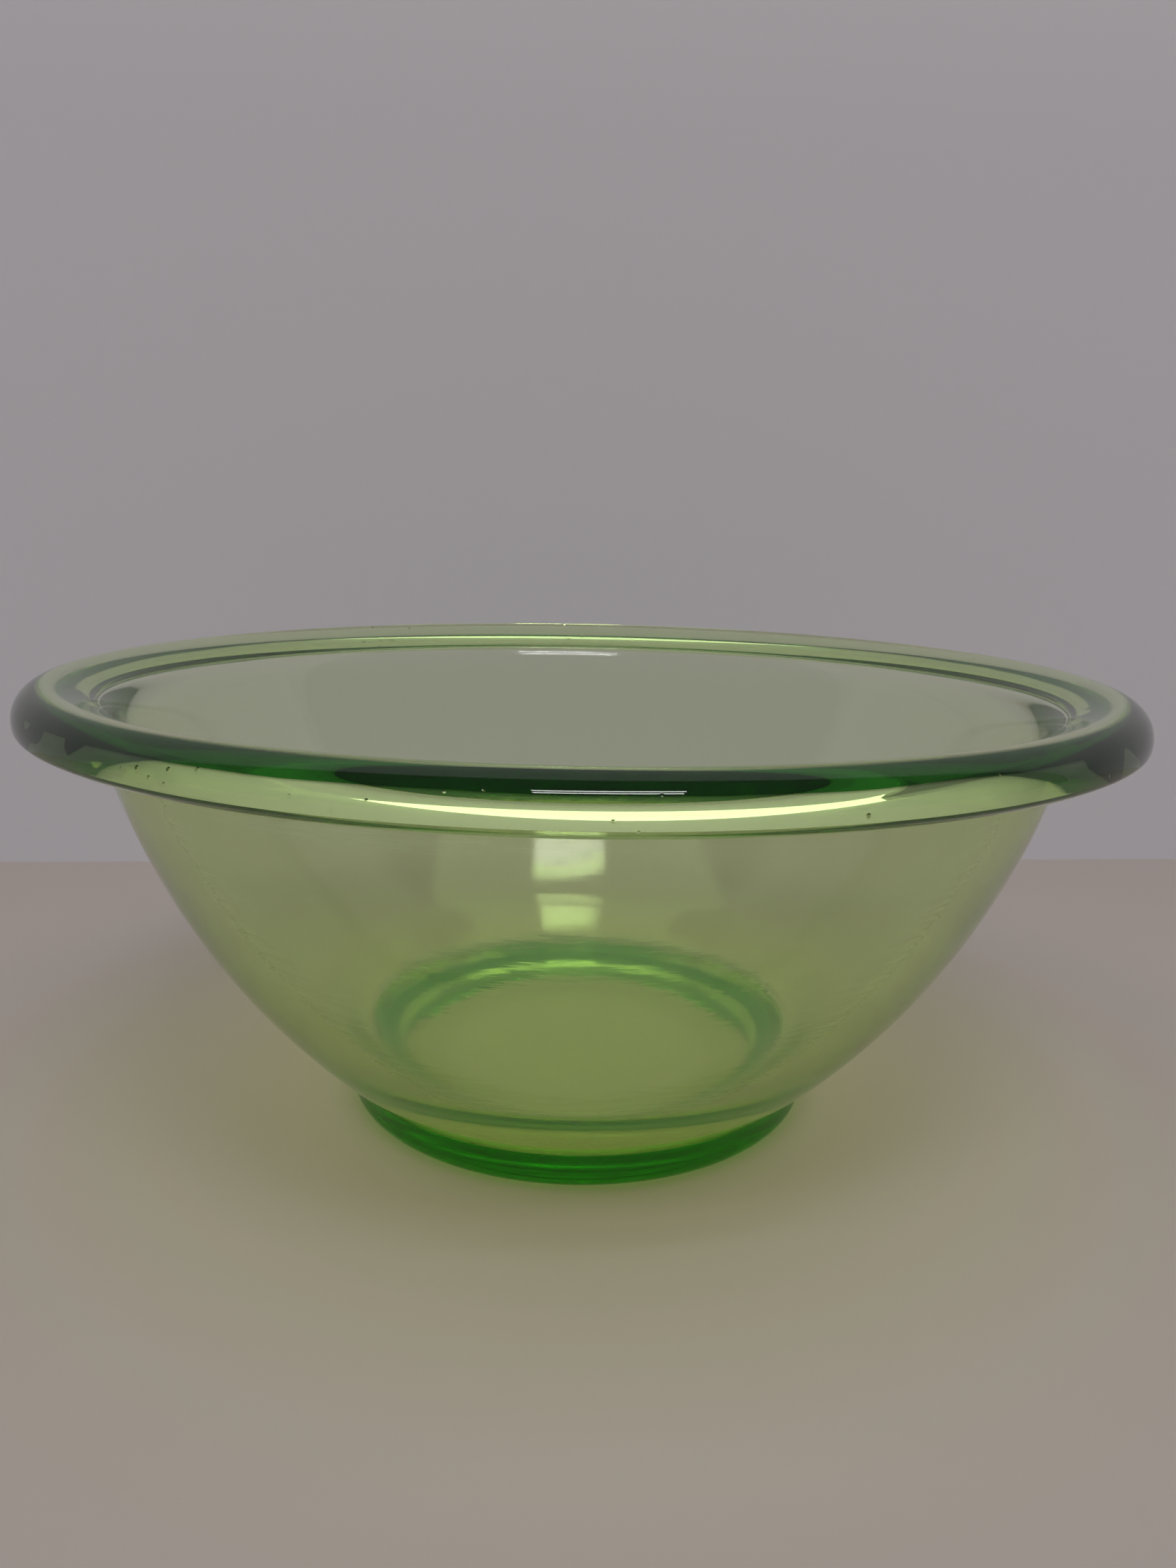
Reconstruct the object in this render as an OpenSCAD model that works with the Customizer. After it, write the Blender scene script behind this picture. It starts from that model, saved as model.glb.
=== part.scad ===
// Pressed glass mixing bowl: one solid of revolution about +Z, in millimetres.
// The bowl stands on z = 0 and its axis passes through the origin. The outline runs from the
// underside of the foot, up the outside, over the turned-out lip and down the inside.

/* [Bowl] */
// Diameter over the lip
rim_d = 190; // [188:0.5:196]
// Height from the table to the crest of the lip
height = 80.1; // [79.6:0.1:80.6]
// Thickness of the side wall near the lip
wall = 5.4; // [5:0.1:5.6]
// Thickness of the side wall near the floor
wall_low = 5.8; // [5:0.1:6]
// Radius of the side wall's outward bulge, seen in section
bulge_r = 125; // [120:1:135]

/* [Lip] */
// Radius of the lip's upper round
lip_round_r = 4.9; // [4.7:0.1:5.1]
// Radius of the small corner between the lip's side and its underside
lip_corner_r = 1.2; // [1:0.1:1.6]
// Radius of the lip's flatter underside
lip_under_r = 8.1; // [7.6:0.1:8.6]
// Diameter of the side wall where the turn under the lip starts
under_lip_d = 166.8; // [166:0.1:167]
// Height at which the turn under the lip starts
under_lip_z = 72.4; // [71.8:0.1:72.6]
// Height at which the inside starts to flare out to the lip
flare_z = 58; // [54:0.5:62]

/* [Foot] */
// Diameter of the foot at its widest
foot_d = 85.9; // [85:0.1:86.5]
// Height of the foot's upright side
foot_h = 6.9; // [6:0.1:7.2]
// Radius of the foot's lower edge
foot_edge_r = 3.3; // [2.4:0.1:3.6]
// Height at which the foot has turned into the side wall
neck_z = 7.8; // [7.6:0.1:9]
// Diameter of the side wall at that height
neck_d = 90.1; // [89.8:0.1:91]
// Inner diameter of the ring that the bowl stands on
ring_d = 77.8; // [73:0.1:78]
// Diameter of the flat part of the hollow under the foot
hollow_d = 44; // [30:1:56]
// Depth of the hollow under the foot
hollow_depth = 1.4; // [1:0.1:2.4]
// Slope of the ring's inner side where it meets the table, in degrees
ring_slope = 42; // [20:1:60]

/* [Floor] */
// Height of the inner floor above the table
floor_z = 9.3; // [8.8:0.1:11]
// Diameter of the flat inner floor
floor_d = 49; // [44:1:54]
// Height of the turn from the floor up to the side wall
floor_turn = 11.7; // [10:0.1:13]

/* [Hidden] */
glass_green = [0.45, 0.78, 0.28, 0.6];

// Straight steps in each turn, in each round of the lip and in each side of the wall
turn_steps = 14;
round_steps = 12;
wall_steps = 24;
// Half the height over which the direction of the inner wall is taken
slope_step = 0.02;

// Directions in which the lip's rounds meet, where its underside starts and where its crest ends
corner_from = -55.7;
corner_to = -10.9;
under_from = -128;
crest_to = 106;

// Reach of each turn's two handles, as a share of the distance between its ends
hollow_pull = [0.26, 0.13];
neck_pull = [0.37, 0.37];
under_lip_pull = [0.6, 0.48];
flare_pull = [0.49, 0.58];
floor_pull = [0.16, 0.27];

rim_r = rim_d / 2;
foot_r = foot_d / 2;

// Centres of the lip's three rounds, each of which touches the next one
round_c = [rim_r - lip_round_r, height - lip_round_r];
corner_c = round_c + (lip_round_r - lip_corner_r) * unit(corner_to);
under_c = corner_c + (lip_corner_r - lip_under_r) * unit(corner_from);

// The side wall's outer curve runs between these points, as [radius, height]
wall_foot = [neck_d / 2, neck_z];
wall_top = [under_lip_d / 2, under_lip_z];
// Centre of that curve: bulge_r away from both points, on the bowl's side of them
chord = wall_top - wall_foot;
to_centre = sqrt(pow(bulge_r, 2) - pow(norm(chord) / 2, 2));
bulge_c = (wall_foot + wall_top) / 2 + to_centre * [-chord[1], chord[0]] / norm(chord);
// The inside of the wall starts at this height
inner_foot_z = floor_z + floor_turn;

// Direction at angle a, and the direction in which it turns as a grows
function unit(a) = [cos(a), sin(a)];
function ahead(a) = [-sin(a), cos(a)];

// Point at height z that lies depth inside the side wall's outer curve
function wall_at(z, depth = 0) =
    [bulge_c[0] + sqrt(pow(bulge_r - depth, 2) - pow(z - bulge_c[1], 2)), z];
// Upward direction of that curve at height z
function wall_up(z) =
    let (out = (wall_at(z) - bulge_c) / bulge_r) [-out[1], out[0]];
// Wall thickness at height z, which changes evenly from the floor up to the lip
function wall_depth(z) =
    wall_low + (wall - wall_low) * (z - inner_foot_z) / (flare_z - inner_foot_z);
// Point of the inner wall at height z, and its downward direction
function inner_at(z) = wall_at(z, wall_depth(z));
function inner_down(z) =
    let (way = inner_at(z - slope_step) - inner_at(z + slope_step)) way / norm(way);

// Smooth turn from point p, leaving along u, to point q, arriving along v
function turn(p, u, q, v, pull) =
    let (reach = norm(q - p), b = p + pull[0] * reach * u, c = q - pull[1] * reach * v)
    [for (i = [0 : turn_steps])
        let (t = i / turn_steps, s = 1 - t)
        pow(s, 3) * p + 3 * s * s * t * b + 3 * s * t * t * c + pow(t, 3) * q];

// Round of radius r from direction a to direction b
function round_run(centre, r, a, b) =
    [for (i = [0 : round_steps]) centre + r * unit(a + (b - a) * i / round_steps)];

function underside() = concat(
    [[0, hollow_depth]],
    turn([hollow_d / 2, hollow_depth], [1, 0], [ring_d / 2, 0], unit(-ring_slope), hollow_pull)
);
function foot_edge() =
    round_run([foot_r - foot_edge_r, foot_edge_r], foot_edge_r, -90, 0);
function neck_turn() =
    turn([foot_r, foot_h], [0, 1], wall_foot, wall_up(neck_z), neck_pull);
function outer_wall() =
    [for (i = [1 : wall_steps - 1]) wall_at(neck_z + (under_lip_z - neck_z) * i / wall_steps)];
function under_lip_turn() =
    turn(wall_top, wall_up(under_lip_z),
        under_c + lip_under_r * unit(under_from), ahead(under_from), under_lip_pull);
function lip() = concat(
    round_run(under_c, lip_under_r, under_from, corner_from),
    round_run(corner_c, lip_corner_r, corner_from, corner_to),
    round_run(round_c, lip_round_r, corner_to, crest_to)
);
function flare() =
    turn(round_c + lip_round_r * unit(crest_to), ahead(crest_to),
        inner_at(flare_z), inner_down(flare_z), flare_pull);
function inner_wall() =
    [for (i = [1 : wall_steps - 1])
        inner_at(flare_z + (inner_foot_z - flare_z) * i / wall_steps)];
function inside_to_floor() =
    turn(inner_at(inner_foot_z), inner_down(inner_foot_z),
        [floor_d / 2, floor_z], [-1, 0], floor_pull);

// Drops a point that repeats the one before it
function joined(points) =
    [for (i = [0 : len(points) - 1])
        if (i == 0 || norm(points[i] - points[max(i - 1, 0)]) > 0.001) points[i]];

function outline() = joined(concat(
    underside(),
    foot_edge(),
    neck_turn(),
    outer_wall(),
    under_lip_turn(),
    lip(),
    flare(),
    inner_wall(),
    inside_to_floor(),
    [[0, floor_z]]
));

module glass_bowl() {
    color(glass_green)
        rotate_extrude($fn = 180)
            polygon(outline());
}

glass_bowl();
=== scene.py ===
"""Green pressed-glass bowl on a pale table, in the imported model's frame (metres)."""
import math

import bpy
from mathutils import Matrix, Vector


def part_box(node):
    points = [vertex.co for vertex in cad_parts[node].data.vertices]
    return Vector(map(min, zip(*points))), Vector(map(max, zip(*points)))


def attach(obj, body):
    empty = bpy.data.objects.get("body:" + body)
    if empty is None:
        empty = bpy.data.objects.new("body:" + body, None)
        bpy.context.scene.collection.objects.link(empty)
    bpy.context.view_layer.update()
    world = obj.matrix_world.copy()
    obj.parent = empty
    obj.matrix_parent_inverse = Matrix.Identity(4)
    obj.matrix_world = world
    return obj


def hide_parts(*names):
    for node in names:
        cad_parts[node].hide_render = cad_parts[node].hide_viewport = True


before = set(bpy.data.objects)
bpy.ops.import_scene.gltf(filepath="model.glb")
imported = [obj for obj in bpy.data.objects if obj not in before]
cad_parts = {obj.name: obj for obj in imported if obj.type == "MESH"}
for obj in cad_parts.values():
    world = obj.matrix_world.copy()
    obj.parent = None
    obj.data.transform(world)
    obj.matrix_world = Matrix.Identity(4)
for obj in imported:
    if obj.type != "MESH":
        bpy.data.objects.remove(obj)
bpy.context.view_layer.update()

MM = 0.001
RIM_R, _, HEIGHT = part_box("glass_bowl")[1]

# Lip: an upper round, a small outer corner and a flatter underside, as tangent arcs.
# Each PULL is the reach of a turn's handle, as a share of the distance between its ends.
ROUND_R = 4.9 * MM
CORNER_R = 1.2 * MM
UNDER_R = 8.1 * MM
CORNER_FROM = math.radians(-55.7)
CORNER_TO = math.radians(-10.9)
UNDER_FROM = math.radians(-128)
CREST_AT = math.radians(106)
CREST_PULL = 0.49
FLARE_PULL = 0.58
FILLET_PULL_LOW = 0.60
FILLET_PULL_HIGH = 0.48
# Side wall: its outer face is an arc that bulges outward
BULGE_R = 125 * MM
WALL = 5.4 * MM
WALL_LOW = 5.8 * MM
WALL_TOP_Z = 72.4 * MM
WALL_TOP_R = 83.4 * MM
NECK_TOP_Z = 7.8 * MM
NECK_TOP_R = 45.05 * MM
NECK_PULL = 0.37
FLARE_Z = 58.0 * MM
# Foot, which stands on the ring from RING_R to its rounded edge
FOOT_R = 42.95 * MM
FOOT_H = 6.9 * MM
FOOT_EDGE_R = 3.3 * MM
HOLLOW_R = 22.0 * MM
HOLLOW_DEPTH = 1.4 * MM
RING_R = 38.9 * MM
RING_SLOPE = math.radians(42)
HOLLOW_PULL = 0.26
RING_PULL = 0.13
# Floor, and the turn up to the side wall
FLOOR_Z = 9.3 * MM
FLOOR_R = 24.5 * MM
FLOOR_TURN = 11.7 * MM
TURN_PULL = 0.16
FLOOR_PULL = 0.27

# Straight steps in the section's parts, and around the axis
SMALL_STEPS = 8
ROUND_STEPS = 12
FLOOR_TURN_STEPS = 18
LIP_STEPS = 24
WALL_STEPS = 30
AXIS_STEPS = 360
SLOPE_STEP = 0.02 * MM
SHORTEST = 0.01 * MM
AXIS_NEAR = 1e-7

# Octaves of the noises
PLAIN, MIXED, FINE = 1, 2, 3
# Glass: absorption per metre in red, green and blue, and faint haze, wear and scratches.
# Each EDGE is the width over which a mask fades in.
IOR = 1.52
ABSORB_RGB = (23, 7, 60)
ABSORB_DENSITY = 100.0
CLEAR = 0.97
INSIDE_ROUGH = 0.08
INSIDE_EDGE = 1.0 * MM
WEAR_SCALE = 60
SCRATCH_DEPTH = 0.5
SCRATCH_AROUND = 12
SCRATCH_ACROSS = 900
BUMP = 0.4
BUMP_HEIGHT = 0.05 * MM
# Painted shade: deep green on the lip's upper outer face, standing in for the darkening that long
# light paths through the glass give. Its lower edge is wavy, with lobes of the same painted shade
# at the lip's left and right ends, on the -Y side only.
BAND_SHADE_COLOUR = (0.001, 0.06, 0.001)
BAND_Z = 77.75 * MM
BAND_R = 91.0 * MM
WAVE_HEIGHT = 0.8 * MM
WAVE_SCALE = 40
BAND_EDGE = 0.35 * MM
BAND_SIDE_EDGE = 0.8 * MM
LOBES_FROM = 66 * MM
LOBES_FRONT = 25 * MM
LOBE_DEPTH = 4.5 * MM
LOBE_SCALE = 95
LOBE_LEVEL = 0.47
LOBE_EDGE = 0.08
LOBES_EDGE = 8 * MM
LOBES_FRONT_EDGE = 10 * MM
# Painted shade: deeper green on the foot's side, which stands in for the darkening from long light
# paths too
FOOT_SHADE_COLOUR = (0.004, 0.42, 0.002)
FOOT_TOP_EDGE = 0.6 * MM
FOOT_SIDE_EDGE = 1.0 * MM
# Small flecks on the lip's side
FLECK_COLOUR = (0.30, 0.26, 0.12)
FLECK_SCALE = 420
FLECK_SIZE = 0.13
FLECK_EDGE = 0.06
FLECK_PIT = 2.0
PATCH_SCALE = 90
PATCH_LEVEL = 0.56
PATCH_EDGE = 0.08
LIP_SIDE = 1.4 * MM
LIP_SIDE_EDGE = 0.4 * MM

# Table, wall and room. The fill and the glows are weak light that the table and the wall give
# off themselves; HORIZON and ZENITH are the room's brightness.
STAGE_HALF = 3.0
STAGE_ROUGH = 0.6
STAGE_SPECULAR = 0.2
TABLE_COLOUR = (0.44, 0.385, 0.36)
TABLE_GAP = 0.15 * MM
TABLE_FILL = (0.10, 0.093, 0.035)
FILL_REACH = 140 * MM
WALL_COLOUR = (0.44, 0.42, 0.44)
WALL_Y = 0.151
WALL_TURN = math.radians(4.2)
LOWER_GLOW = (0.130, 0.124, 0.133)
UPPER_GLOW = (0.20, 0.20, 0.20)
UPPER_FROM, UPPER_TO = 0.22, 0.40
HORIZON = 0.10
ZENITH = 0.14
SKY_WARMTH = 0.98
BLACK = (0, 0, 0)
WHITE = (1, 1, 1)

# Lights
CEILING_SIZE = 3.0
CEILING_AT = (-0.02, 0.1, 1.8)
CEILING_POWER = 42
LAMP_LENGTH, LAMP_WIDTH = 0.6, 0.07
LAMP_LOW_AT = (0.1, -0.88, 1.34)
LAMP_HIGH_AT = (0.1, -0.76, 1.43)
LAMP_TARGET = (0, -0.09, 0.08)
LAMP_POWER = 1.7

# Camera: distance and height as shares of the rim's radius, turns in radians, sensor in mm and
# focal length as a share of the sensor
CAMERA_BACK = 2.3037
CAMERA_UP = 1.1223
PITCH, ROLL, YAW = 0.2175, 0.0194, 0.0048
SENSOR = 36
FOCAL_SHARE = 1700 / 2212
CLIP_START = 0.01
# Bounces, enough for light that passes through the glass many times
GLASS_BOUNCES = 32
OTHER_BOUNCES = 16


# ---------------------------------------------------------------- outline
def unit(a):
    return Vector((math.cos(a), math.sin(a)))


def ahead(a):
    return Vector((-math.sin(a), math.cos(a)))


# Centres of the lip's three rounds, each of which touches the next one
round_c = Vector((RIM_R - ROUND_R, HEIGHT - ROUND_R))
corner_c = round_c + (ROUND_R - CORNER_R) * unit(CORNER_TO)
under_c = corner_c + (CORNER_R - UNDER_R) * unit(CORNER_FROM)
# Centre of the side wall's outer arc
wall_foot = Vector((NECK_TOP_R, NECK_TOP_Z))
wall_top = Vector((WALL_TOP_R, WALL_TOP_Z))
chord = wall_top - wall_foot
to_centre = math.sqrt(BULGE_R ** 2 - (chord.length / 2) ** 2)
bulge_c = (wall_foot + wall_top) / 2 + to_centre * Vector((-chord[1], chord[0])).normalized()


def wall_at(z, depth=0.0):
    """Point at height z that lies depth inside the side wall's outer arc."""
    return Vector((bulge_c[0] + math.sqrt((BULGE_R - depth) ** 2 - (z - bulge_c[1]) ** 2), z))


def wall_up(z):
    """Upward direction of the outer arc at height z."""
    out = (wall_at(z) - bulge_c) / BULGE_R
    return Vector((-out[1], out[0]))


def inner_at(z):
    """Point of the inner wall, whose thickness changes evenly from the floor to the flare."""
    share = (z - FLOOR_Z - FLOOR_TURN) / (FLARE_Z - FLOOR_Z - FLOOR_TURN)
    return wall_at(z, WALL_LOW + (WALL - WALL_LOW) * share)


def inner_down(z):
    return (inner_at(z - SLOPE_STEP) - inner_at(z + SLOPE_STEP)).normalized()


def turn(p, u, q, v, steps, pull_p, pull_q):
    """Smooth turn from point p, leaving along u, to point q, arriving along v."""
    p, u, q, v = Vector(p), Vector(u), Vector(q), Vector(v)
    reach = (q - p).length
    b, c = p + pull_p * reach * u, q - pull_q * reach * v
    points = []
    for i in range(steps + 1):
        t = i / steps
        s = 1 - t
        points.append(s ** 3 * p + 3 * s * s * t * b + 3 * s * t * t * c + t ** 3 * q)
    return points


def arc(centre, radius, a, b, steps):
    return [centre + radius * unit(a + (b - a) * i / steps) for i in range(steps + 1)]


def between(a, b, steps):
    """Values strictly between a and b, evenly spaced."""
    return [a + (b - a) * i / steps for i in range(1, steps)]


def outline():
    """Half section as (radius, height), from under the foot, over the lip and down inside."""
    inner_foot_z = FLOOR_Z + FLOOR_TURN
    points = [Vector((0, HOLLOW_DEPTH)), Vector((HOLLOW_R / 2, HOLLOW_DEPTH))]
    points += turn((HOLLOW_R, HOLLOW_DEPTH), (1, 0), (RING_R, 0), unit(-RING_SLOPE),
                   ROUND_STEPS, HOLLOW_PULL, RING_PULL)
    points += arc(Vector((FOOT_R - FOOT_EDGE_R, FOOT_EDGE_R)), FOOT_EDGE_R,
                  math.radians(-90), 0, ROUND_STEPS)
    points += turn((FOOT_R, FOOT_H), (0, 1), wall_at(NECK_TOP_Z), wall_up(NECK_TOP_Z),
                   SMALL_STEPS, NECK_PULL, NECK_PULL)
    points += [wall_at(z) for z in between(NECK_TOP_Z, WALL_TOP_Z, WALL_STEPS)]
    points += turn(wall_at(WALL_TOP_Z), wall_up(WALL_TOP_Z),
                   under_c + UNDER_R * unit(UNDER_FROM), ahead(UNDER_FROM),
                   ROUND_STEPS, FILLET_PULL_LOW, FILLET_PULL_HIGH)
    points += arc(under_c, UNDER_R, UNDER_FROM, CORNER_FROM, ROUND_STEPS)
    points += arc(corner_c, CORNER_R, CORNER_FROM, CORNER_TO, SMALL_STEPS)
    points += arc(round_c, ROUND_R, CORNER_TO, CREST_AT, LIP_STEPS)
    points += turn(round_c + ROUND_R * unit(CREST_AT), ahead(CREST_AT),
                   inner_at(FLARE_Z), inner_down(FLARE_Z),
                   LIP_STEPS, CREST_PULL, FLARE_PULL)
    points += [inner_at(z) for z in between(FLARE_Z, inner_foot_z, WALL_STEPS)]
    points += turn(inner_at(inner_foot_z), inner_down(inner_foot_z), (FLOOR_R, FLOOR_Z), (-1, 0),
                   FLOOR_TURN_STEPS, TURN_PULL, FLOOR_PULL)
    points += [Vector((r, FLOOR_Z)) for r in between(FLOOR_R, 0, SMALL_STEPS)]
    points.append(Vector((0, FLOOR_Z)))
    kept = points[:1]
    for p in points[1:]:
        if (p - kept[-1]).length > SHORTEST:
            kept.append(p)
    return kept


def linked(name, data):
    obj = bpy.data.objects.new(name, data)
    bpy.context.scene.collection.objects.link(obj)
    return obj


def revolve(name, section, steps):
    """Closed mesh of revolution: one vertex where the section meets the axis, rings elsewhere."""
    verts, faces, rings = [], [], []
    for p in section:
        if p[0] < AXIS_NEAR:
            rings.append([len(verts)] * steps)
            verts.append((0, 0, p[1]))
            continue
        rings.append(list(range(len(verts), len(verts) + steps)))
        for k in range(steps):
            a = 2 * math.pi * k / steps
            verts.append((p[0] * math.cos(a), p[0] * math.sin(a), p[1]))
    for lower, upper in zip(rings, rings[1:]):
        for k in range(steps):
            j = (k + 1) % steps
            faces.append(list(dict.fromkeys((lower[k], lower[j], upper[j], upper[k]))))
    mesh = bpy.data.meshes.new(name)
    mesh.from_pydata(verts, [], faces)
    mesh.update()
    mesh.shade_smooth()
    return linked(name, mesh)


# ---------------------------------------------------------------- materials
class Shader:
    """A material with a Principled BSDF, and short ways to add nodes to it."""

    def __init__(self, name):
        self.material = bpy.data.materials.new(name)
        self.material.use_nodes = True
        self.tree = self.material.node_tree
        self.inputs = self.tree.nodes["Principled BSDF"].inputs
        place = self.node("ShaderNodeNewGeometry")
        self.position = place.outputs["Position"]
        self.backfacing = place.outputs["Backfacing"]
        split = self.node("ShaderNodeSeparateXYZ")
        self.link(self.position, split.inputs[0])
        self.x, self.y, self.z = split.outputs

    def node(self, kind):
        return self.tree.nodes.new(kind)

    def link(self, value, socket):
        self.tree.links.new(value, socket)

    def output(self, name):
        return self.tree.nodes["Material Output"].inputs[name]

    def calc(self, operation, *values, clamp=False):
        node = self.node("ShaderNodeMath")
        node.operation = operation
        node.use_clamp = clamp
        for socket, value in zip(node.inputs, values):
            if isinstance(value, (int, float)):
                socket.default_value = value
            else:
                self.link(value, socket)
        return node.outputs[0]

    def times(self, a, b):
        return self.calc("MULTIPLY", a, b)

    def hypotenuse(self, a, b):
        return self.calc("SQRT", self.calc("ADD", self.times(a, a), self.times(b, b)))

    def above(self, value, level, width):
        """Goes from 0 to 1 over width, where value passes level."""
        share = self.calc("DIVIDE", self.calc("SUBTRACT", value, level), width)
        return self.calc("ADD", share, 0.5, clamp=True)

    def under(self, value, level, width):
        return self.above(self.times(value, -1.0), -level, width)

    def noise(self, scale, detail, vector=None):
        node = self.node("ShaderNodeTexNoise")
        node.inputs["Scale"].default_value = scale
        node.inputs["Detail"].default_value = detail
        self.link(self.position if vector is None else vector, node.inputs["Vector"])
        return node.outputs["Fac"]

    def blend(self, share, a, b):
        node = self.node("ShaderNodeMix")
        node.data_type = "RGBA"
        self.link(share, node.inputs["Factor"])
        for name, colour in (("A", a), ("B", b)):
            if isinstance(colour, tuple):
                node.inputs[name].default_value = (*colour, 1)
            else:
                self.link(colour, node.inputs[name])
        return node.outputs["Result"]


# Painted shade: mask of the lip's dark green band, with its wavy edge and its lobes
def band_shade_mask(s, radius):
    wave = s.times(s.calc("SUBTRACT", s.noise(WAVE_SCALE, MIXED), 0.5), WAVE_HEIGHT)
    ends = s.times(s.above(s.calc("ABSOLUTE", s.x), LOBES_FROM, LOBES_EDGE),
                   s.under(s.y, -LOBES_FRONT, LOBES_FRONT_EDGE))
    lobes = s.times(ends, s.above(s.noise(LOBE_SCALE, PLAIN), LOBE_LEVEL, LOBE_EDGE))
    edge = s.calc("ADD", wave, s.times(lobes, LOBE_DEPTH))
    return s.times(s.above(radius, BAND_R, BAND_SIDE_EDGE),
                   s.above(s.calc("ADD", s.z, edge), BAND_Z, BAND_EDGE))


# Painted shade: mask of the foot's side, which is painted a deeper green
def foot_shade_mask(s, radius):
    return s.times(s.above(radius, RING_R, FOOT_SIDE_EDGE), s.under(s.z, FOOT_H, FOOT_TOP_EDGE))


def fleck_mask(s, radius):
    cells = s.node("ShaderNodeTexVoronoi")
    cells.inputs["Scale"].default_value = FLECK_SCALE
    s.link(s.position, cells.inputs["Vector"])
    dots = s.under(cells.outputs["Distance"], FLECK_SIZE, FLECK_EDGE)
    patches = s.above(s.noise(PATCH_SCALE, MIXED), PATCH_LEVEL, PATCH_EDGE)
    side = s.above(radius, RIM_R - LIP_SIDE, LIP_SIDE_EDGE)
    return s.times(s.times(dots, patches), side)


def inside_mask(s, radius):
    """1 on the inner side of the middle of the side wall."""
    reach = s.hypotenuse(s.calc("SUBTRACT", radius, bulge_c[0]),
                         s.calc("SUBTRACT", s.z, bulge_c[1]))
    return s.under(reach, BULGE_R - WALL / 2, INSIDE_EDGE)


def scratches(s, radius):
    """Noise drawn out around the axis."""
    along = s.node("ShaderNodeCombineXYZ")
    s.link(s.times(s.calc("ARCTAN2", s.y, s.x), SCRATCH_AROUND), along.inputs["X"])
    s.link(s.times(s.z, SCRATCH_ACROSS), along.inputs["Y"])
    s.link(s.times(radius, SCRATCH_ACROSS), along.inputs["Z"])
    return s.noise(1.0, FINE, along.outputs[0])


def glass_material():
    s = Shader("green_glass")
    radius = s.hypotenuse(s.x, s.y)
    inside, fleck = inside_mask(s, radius), fleck_mask(s, radius)

    s.inputs["Base Color"].default_value = (*WHITE, 1)
    # Base colour: white glass with painted shade on the lip's band and the foot's side, and real
    # flecks over it
    painted_shade = s.blend(band_shade_mask(s, radius), WHITE, BAND_SHADE_COLOUR)
    painted_shade = s.blend(foot_shade_mask(s, radius), painted_shade, FOOT_SHADE_COLOUR)
    s.link(s.blend(fleck, painted_shade, FLECK_COLOUR), s.inputs["Base Color"])

    wear = s.times(s.noise(WEAR_SCALE, FINE), 2 * INSIDE_ROUGH)
    s.link(s.times(inside, wear), s.inputs["Roughness"])

    relief = s.times(s.times(scratches(s, radius), inside), SCRATCH_DEPTH)
    bump = s.node("ShaderNodeBump")
    bump.inputs["Strength"].default_value = BUMP
    bump.inputs["Distance"].default_value = BUMP_HEIGHT
    s.link(s.calc("SUBTRACT", relief, s.times(fleck, FLECK_PIT)), bump.inputs["Height"])
    s.link(bump.outputs[0], s.inputs["Normal"])

    s.inputs["Transmission Weight"].default_value = CLEAR
    s.inputs["IOR"].default_value = IOR
    volume = s.node("ShaderNodeVolumeAbsorption")
    volume.inputs["Color"].default_value = [1 - a / ABSORB_DENSITY for a in ABSORB_RGB] + [1]
    volume.inputs["Density"].default_value = ABSORB_DENSITY
    s.link(volume.outputs[0], s.output("Volume"))
    return s.material


def stage_shader(name, colour):
    s = Shader(name)
    s.inputs["Base Color"].default_value = (*colour, 1)
    s.inputs["Roughness"].default_value = STAGE_ROUGH
    s.inputs["Specular IOR Level"].default_value = STAGE_SPECULAR
    return s


def add_glow(s, value, start, end, colour_at_start, colour_at_end, fade_kind="LINEAR"):
    """Emission that changes from one colour to the other as value goes from start to end."""
    fade = s.node("ShaderNodeMapRange")
    fade.interpolation_type = fade_kind
    fade.inputs["From Min"].default_value = start
    fade.inputs["From Max"].default_value = end
    s.link(value, fade.inputs["Value"])
    s.link(s.blend(fade.outputs[0], colour_at_start, colour_at_end), s.inputs["Emission Color"])
    s.inputs["Emission Strength"].default_value = 1.0


def table_material():
    s = stage_shader("table_white", TABLE_COLOUR)
    distance = s.node("ShaderNodeVectorMath")
    distance.operation = "LENGTH"
    s.link(s.position, distance.inputs[0])
    add_glow(s, distance.outputs["Value"], FOOT_R, FILL_REACH, TABLE_FILL, BLACK, "SMOOTHSTEP")
    return s.material


def wall_material():
    """Wall that lets through what comes from behind it."""
    s = stage_shader("wall_grey", WALL_COLOUR)
    add_glow(s, s.z, UPPER_FROM, UPPER_TO, LOWER_GLOW, UPPER_GLOW)
    mix = s.node("ShaderNodeMixShader")
    s.link(s.backfacing, mix.inputs[0])
    s.link(s.tree.nodes["Principled BSDF"].outputs[0], mix.inputs[1])
    s.link(s.node("ShaderNodeBsdfTransparent").outputs[0], mix.inputs[2])
    s.link(mix.outputs[0], s.output("Surface"))
    return s.material


bowl = revolve("bowl_glass", outline(), AXIS_STEPS)
bowl.data.materials.append(glass_material())
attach(bowl, "root")
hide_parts("glass_bowl")


# ---------------------------------------------------------------- table, wall and room
def plane(name, material):
    s = STAGE_HALF
    mesh = bpy.data.meshes.new(name)
    mesh.from_pydata([(-s, -s, 0), (s, -s, 0), (s, s, 0), (-s, s, 0)], [], [(0, 1, 2, 3)])
    mesh.materials.append(material)
    obj = linked(name, mesh)
    return obj


table = plane("table", table_material())
table.location = (0, 0, -TABLE_GAP)
wall = plane("wall", wall_material())
wall.rotation_euler = (math.radians(90), 0, WALL_TURN)
wall.location = (0, WALL_Y, 0)

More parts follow.
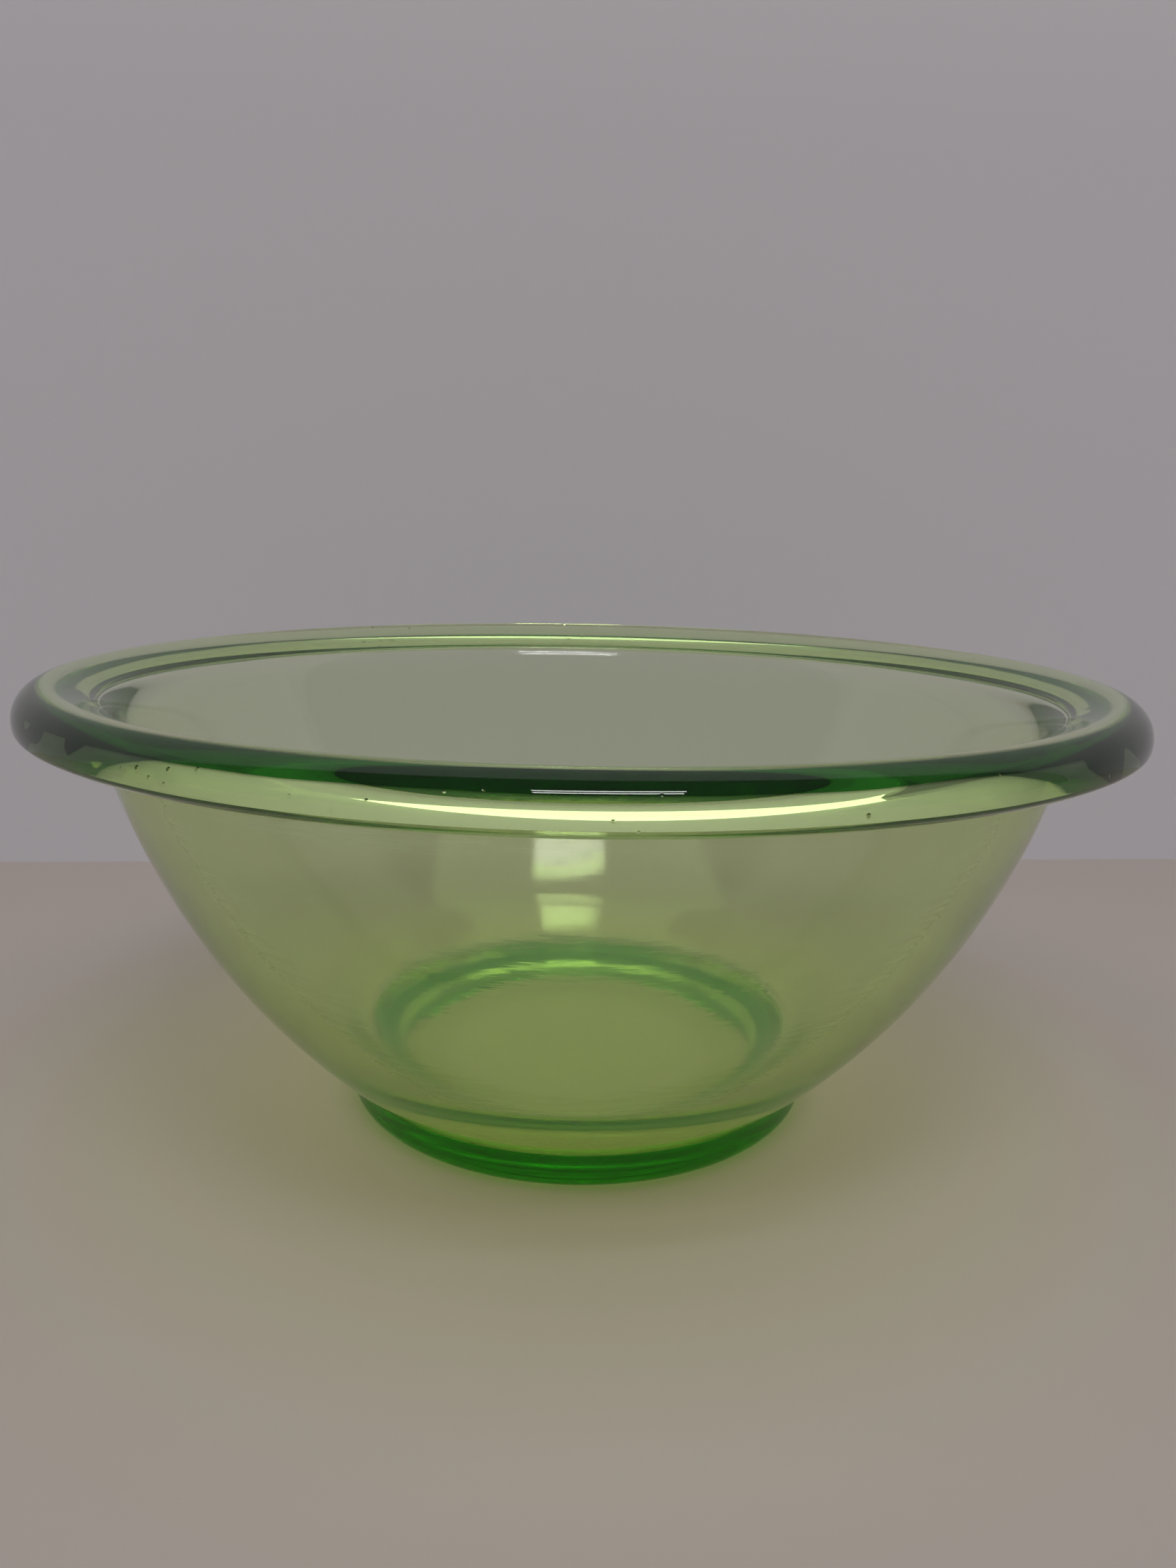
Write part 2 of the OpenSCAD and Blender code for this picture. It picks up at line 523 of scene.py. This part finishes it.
world = bpy.data.worlds.new("room")
bpy.context.scene.world = world
world.use_nodes = True
room = world.node_tree
coords = room.nodes.new("ShaderNodeTexCoord")
split = room.nodes.new("ShaderNodeSeparateXYZ")
ramp = room.nodes.new("ShaderNodeValToRGB")
room.links.new(coords.outputs["Generated"], split.inputs[0])
room.links.new(split.outputs["Z"], ramp.inputs[0])
room.links.new(ramp.outputs[0], room.nodes["Background"].inputs[0])
for element, level in zip(ramp.color_ramp.elements, (HORIZON, ZENITH)):
    element.color = (level, level * SKY_WARMTH, level * SKY_WARMTH, 1)


def area(name, size, location, target, power):
    light = bpy.data.lights.new(name, "AREA")
    light.shape = "RECTANGLE"
    light.size, light.size_y = size
    light.energy = power
    obj = linked(name, light)
    obj.location = location
    aim = Vector(target) - Vector(location)
    obj.rotation_euler = aim.to_track_quat("-Z", "Y").to_euler()
    obj.visible_camera = False
    return obj


ceiling = area("ceiling_light", (CEILING_SIZE, CEILING_SIZE), CEILING_AT, (0, 0, 0), CEILING_POWER)
ceiling.visible_glossy = False
area("lamp_low", (LAMP_LENGTH, LAMP_WIDTH), LAMP_LOW_AT, LAMP_TARGET, LAMP_POWER)
area("lamp_high", (LAMP_LENGTH, LAMP_WIDTH), LAMP_HIGH_AT, LAMP_TARGET, LAMP_POWER)

# ---------------------------------------------------------------- camera
forward = Vector((math.sin(YAW) * math.cos(PITCH), math.cos(YAW) * math.cos(PITCH), -math.sin(PITCH)))
level_right = Vector((math.cos(YAW), -math.sin(YAW), 0))
level_up = level_right.cross(forward)
right = math.cos(ROLL) * level_right + math.sin(ROLL) * level_up
up = -math.sin(ROLL) * level_right + math.cos(ROLL) * level_up
camera_data = bpy.data.cameras.new("camera")
camera_data.sensor_width = SENSOR
camera_data.lens = FOCAL_SHARE * SENSOR
camera_data.clip_start = CLIP_START
camera = linked("camera", camera_data)
matrix = Matrix((right, up, -forward)).transposed().to_4x4()
matrix.translation = Vector((0, -CAMERA_BACK * RIM_R, CAMERA_UP * RIM_R))
camera.matrix_world = matrix

scene = bpy.context.scene
scene.camera = camera
scene.view_settings.view_transform = "Standard"
scene.cycles.max_bounces = GLASS_BOUNCES
scene.cycles.transmission_bounces = GLASS_BOUNCES
scene.cycles.glossy_bounces = OTHER_BOUNCES
scene.cycles.transparent_max_bounces = OTHER_BOUNCES
